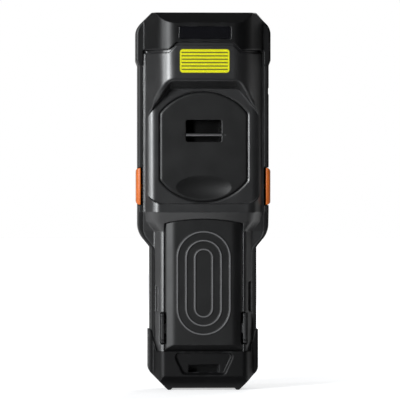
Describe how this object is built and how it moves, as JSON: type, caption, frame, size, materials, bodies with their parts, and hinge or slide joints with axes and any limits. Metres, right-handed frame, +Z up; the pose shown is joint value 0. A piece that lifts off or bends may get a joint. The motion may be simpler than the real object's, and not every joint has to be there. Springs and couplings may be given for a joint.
{
  "type": "portable barcode data terminal",
  "caption": "Rugged handheld data terminal with a deep scan head, side triggers, a keypad grip, a lift-out battery, a hinged rear cover and a strap bar.",
  "frame": {"origin": "middle of the terminal's box at the plane of its two feet", "axes": "+Z up the terminal to its scan head, -Y out of the rear with the battery and +Y out of the screen"},
  "size_m": [0.0816, 0.043, 0.228],
  "materials": {
    "case_plastic": "black textured mouldings, satin where handled",
    "cap_rubber": "black overmoulded bumper, fine matt texture",
    "boot_rubber": "black overmoulded boot, satin",
    "rail_rubber": "black overmoulded side rails, satin",
    "badge_gloss": "gloss black, blank",
    "label_yellow": "yellow film with plain dark rules",
    "scan_glass": "dark red tinted window",
    "inner_plastic": "black inner mouldings",
    "screen_glass": "dark cover glass",
    "screen_panel": "display panel, off",
    "mat_rubber": "grey silicone mat",
    "board": "green solder mask",
    "seal_rubber": "black silicone seal",
    "speaker_metal": "stamped basket",
    "light_guide": "milky light guide",
    "socket_steel": "drawn steel shell",
    "contact_gold": "gold plated",
    "battery_plastic": "black moulded pack, satin",
    "cell_metal": "foil skin",
    "latch_plastic": "black moulded tab",
    "cover_plastic": "black moulded lid, satin",
    "pin_steel": "blackened steel pin",
    "screw_steel": "blackened steel",
    "trigger_orange": "orange, satin",
    "flap_rubber": "black rubber flap",
    "key_orange": "orange key",
    "key_orange_dark": "dark grey key",
    "key_red": "red key",
    "key_grey": "dark grey key"
  },
  "bodies": {
    "root": {"back_label": "label_yellow", "badge_plate": "badge_gloss", "battery_terminals": "contact_gold", "bottom_boot": "boot_rubber", "case_gasket": "seal_rubber", "case_screws": "screw_steel", "display_glass": "screen_glass", "dock_contacts": "contact_gold", "front_case": "case_plastic", "grip_contacts": "contact_gold", "head_cap": "cap_rubber", "key_mat": "mat_rubber", "keypad_board": "board", "lcd_module": "screen_panel", "left_rail": "rail_rubber", "main_board": "board", "rear_case": "case_plastic", "right_rail": "rail_rubber", "scan_engine": "inner_plastic", "scan_window": "scan_glass", "side_socket": "socket_steel", "speaker": "speaker_metal", "status_lights": "light_guide", "trigger_switches": "inner_plastic", "usb_socket": "socket_steel"},
    "battery": {"battery_case": "battery_plastic", "battery_cell": "cell_metal", "battery_pads": "contact_gold"},
    "left_latch": {"left_latch": "latch_plastic"},
    "right_latch": {"right_latch": "latch_plastic"},
    "cover": {"grip_cover": "cover_plastic", "strap_pin": "pin_steel"},
    "left_trigger": {"left_trigger": "trigger_orange"},
    "right_trigger": {"right_trigger": "trigger_orange"},
    "port_cover": {"port_cover": "flap_rubber"},
    "key_0": {"key_0": "key_grey"},
    "key_1": {"key_1": "key_grey"},
    "key_2": {"key_2": "key_grey"},
    "key_3": {"key_3": "key_grey"},
    "key_4": {"key_4": "key_grey"},
    "key_5": {"key_5": "key_grey"},
    "key_6": {"key_6": "key_grey"},
    "key_7": {"key_7": "key_grey"},
    "key_8": {"key_8": "key_grey"},
    "key_9": {"key_9": "key_grey"},
    "key_back": {"key_back": "key_grey"},
    "key_down": {"key_down": "key_grey"},
    "key_enter": {"key_enter": "key_grey"},
    "key_escape": {"key_escape": "key_grey"},
    "key_function": {"key_function": "key_grey"},
    "key_hash": {"key_hash": "key_grey"},
    "key_power": {"key_power": "key_red"},
    "key_scan": {"key_scan": "key_orange"},
    "key_soft_left": {"key_soft_left": "key_orange_dark"},
    "key_soft_right": {"key_soft_right": "key_orange_dark"},
    "key_star": {"key_star": "key_grey"},
    "key_tab": {"key_tab": "key_grey"},
    "key_up": {"key_up": "key_grey"}
  },
  "joints": [
    {"name": "battery_lift", "type": "slide", "parent": "root", "child": "battery", "axis": [0, -1, 0], "range_m": [0, 0.03]},
    {"name": "left_latch_press", "type": "slide", "parent": "battery", "child": "left_latch", "axis": [1, 0, 0], "range_m": [0, 0.0012], "stiffness_N_per_m": 500, "springref_m": -0.0004},
    {"name": "right_latch_press", "type": "slide", "parent": "battery", "child": "right_latch", "axis": [-1, 0, 0], "range_m": [0, 0.0012], "stiffness_N_per_m": 500, "springref_m": -0.0004},
    {"name": "cover_swing", "type": "hinge", "parent": "root", "child": "cover", "pos_m": [0, -0.009, 0.18025], "axis": [-1, 0, 0], "range_deg": [0, 60]},
    {"name": "left_trigger_press", "type": "slide", "parent": "root", "child": "left_trigger", "axis": [1, 0, 0], "range_m": [0, 0.001], "stiffness_N_per_m": 1000, "springref_m": -0.0005},
    {"name": "right_trigger_press", "type": "slide", "parent": "root", "child": "right_trigger", "axis": [-1, 0, 0], "range_m": [0, 0.001], "stiffness_N_per_m": 1000, "springref_m": -0.0005},
    {"name": "port_cover_swing", "type": "hinge", "parent": "root", "child": "port_cover", "pos_m": [0.0388, 0.005, 0.1625], "axis": [0, -1, 0], "range_deg": [0, 90]},
    {"name": "key_0_press", "type": "slide", "parent": "root", "child": "key_0", "axis": [0, -1, 0], "range_m": [0, 0.0008], "stiffness_N_per_m": 600, "springref_m": -0.0003},
    {"name": "key_1_press", "type": "slide", "parent": "root", "child": "key_1", "axis": [0, -1, 0], "range_m": [0, 0.0008], "stiffness_N_per_m": 600, "springref_m": -0.0003},
    {"name": "key_2_press", "type": "slide", "parent": "root", "child": "key_2", "axis": [0, -1, 0], "range_m": [0, 0.0008], "stiffness_N_per_m": 600, "springref_m": -0.0003},
    {"name": "key_3_press", "type": "slide", "parent": "root", "child": "key_3", "axis": [0, -1, 0], "range_m": [0, 0.0008], "stiffness_N_per_m": 600, "springref_m": -0.0003},
    {"name": "key_4_press", "type": "slide", "parent": "root", "child": "key_4", "axis": [0, -1, 0], "range_m": [0, 0.0008], "stiffness_N_per_m": 600, "springref_m": -0.0003},
    {"name": "key_5_press", "type": "slide", "parent": "root", "child": "key_5", "axis": [0, -1, 0], "range_m": [0, 0.0008], "stiffness_N_per_m": 600, "springref_m": -0.0003},
    {"name": "key_6_press", "type": "slide", "parent": "root", "child": "key_6", "axis": [0, -1, 0], "range_m": [0, 0.0008], "stiffness_N_per_m": 600, "springref_m": -0.0003},
    {"name": "key_7_press", "type": "slide", "parent": "root", "child": "key_7", "axis": [0, -1, 0], "range_m": [0, 0.0008], "stiffness_N_per_m": 600, "springref_m": -0.0003},
    {"name": "key_8_press", "type": "slide", "parent": "root", "child": "key_8", "axis": [0, -1, 0], "range_m": [0, 0.0008], "stiffness_N_per_m": 600, "springref_m": -0.0003},
    {"name": "key_9_press", "type": "slide", "parent": "root", "child": "key_9", "axis": [0, -1, 0], "range_m": [0, 0.0008], "stiffness_N_per_m": 600, "springref_m": -0.0003},
    {"name": "key_back_press", "type": "slide", "parent": "root", "child": "key_back", "axis": [0, -1, 0], "range_m": [0, 0.0008], "stiffness_N_per_m": 600, "springref_m": -0.0003},
    {"name": "key_down_press", "type": "slide", "parent": "root", "child": "key_down", "axis": [0, -1, 0], "range_m": [0, 0.0008], "stiffness_N_per_m": 600, "springref_m": -0.0003},
    {"name": "key_enter_press", "type": "slide", "parent": "root", "child": "key_enter", "axis": [0, -1, 0], "range_m": [0, 0.0008], "stiffness_N_per_m": 600, "springref_m": -0.0003},
    {"name": "key_escape_press", "type": "slide", "parent": "root", "child": "key_escape", "axis": [0, -1, 0], "range_m": [0, 0.0008], "stiffness_N_per_m": 600, "springref_m": -0.0003},
    {"name": "key_function_press", "type": "slide", "parent": "root", "child": "key_function", "axis": [0, -1, 0], "range_m": [0, 0.0008], "stiffness_N_per_m": 600, "springref_m": -0.0003},
    {"name": "key_hash_press", "type": "slide", "parent": "root", "child": "key_hash", "axis": [0, -1, 0], "range_m": [0, 0.0008], "stiffness_N_per_m": 600, "springref_m": -0.0003},
    {"name": "key_power_press", "type": "slide", "parent": "root", "child": "key_power", "axis": [0, -1, 0], "range_m": [0, 0.0008], "stiffness_N_per_m": 600, "springref_m": -0.0003},
    {"name": "key_scan_press", "type": "slide", "parent": "root", "child": "key_scan", "axis": [0, -1, 0], "range_m": [0, 0.0008], "stiffness_N_per_m": 600, "springref_m": -0.0003},
    {"name": "key_soft_left_press", "type": "slide", "parent": "root", "child": "key_soft_left", "axis": [0, -1, 0], "range_m": [0, 0.0008], "stiffness_N_per_m": 600, "springref_m": -0.0003},
    {"name": "key_soft_right_press", "type": "slide", "parent": "root", "child": "key_soft_right", "axis": [0, -1, 0], "range_m": [0, 0.0008], "stiffness_N_per_m": 600, "springref_m": -0.0003},
    {"name": "key_star_press", "type": "slide", "parent": "root", "child": "key_star", "axis": [0, -1, 0], "range_m": [0, 0.0008], "stiffness_N_per_m": 600, "springref_m": -0.0003},
    {"name": "key_tab_press", "type": "slide", "parent": "root", "child": "key_tab", "axis": [0, -1, 0], "range_m": [0, 0.0008], "stiffness_N_per_m": 600, "springref_m": -0.0003},
    {"name": "key_up_press", "type": "slide", "parent": "root", "child": "key_up", "axis": [0, -1, 0], "range_m": [0, 0.0008], "stiffness_N_per_m": 600, "springref_m": -0.0003}
  ]
}
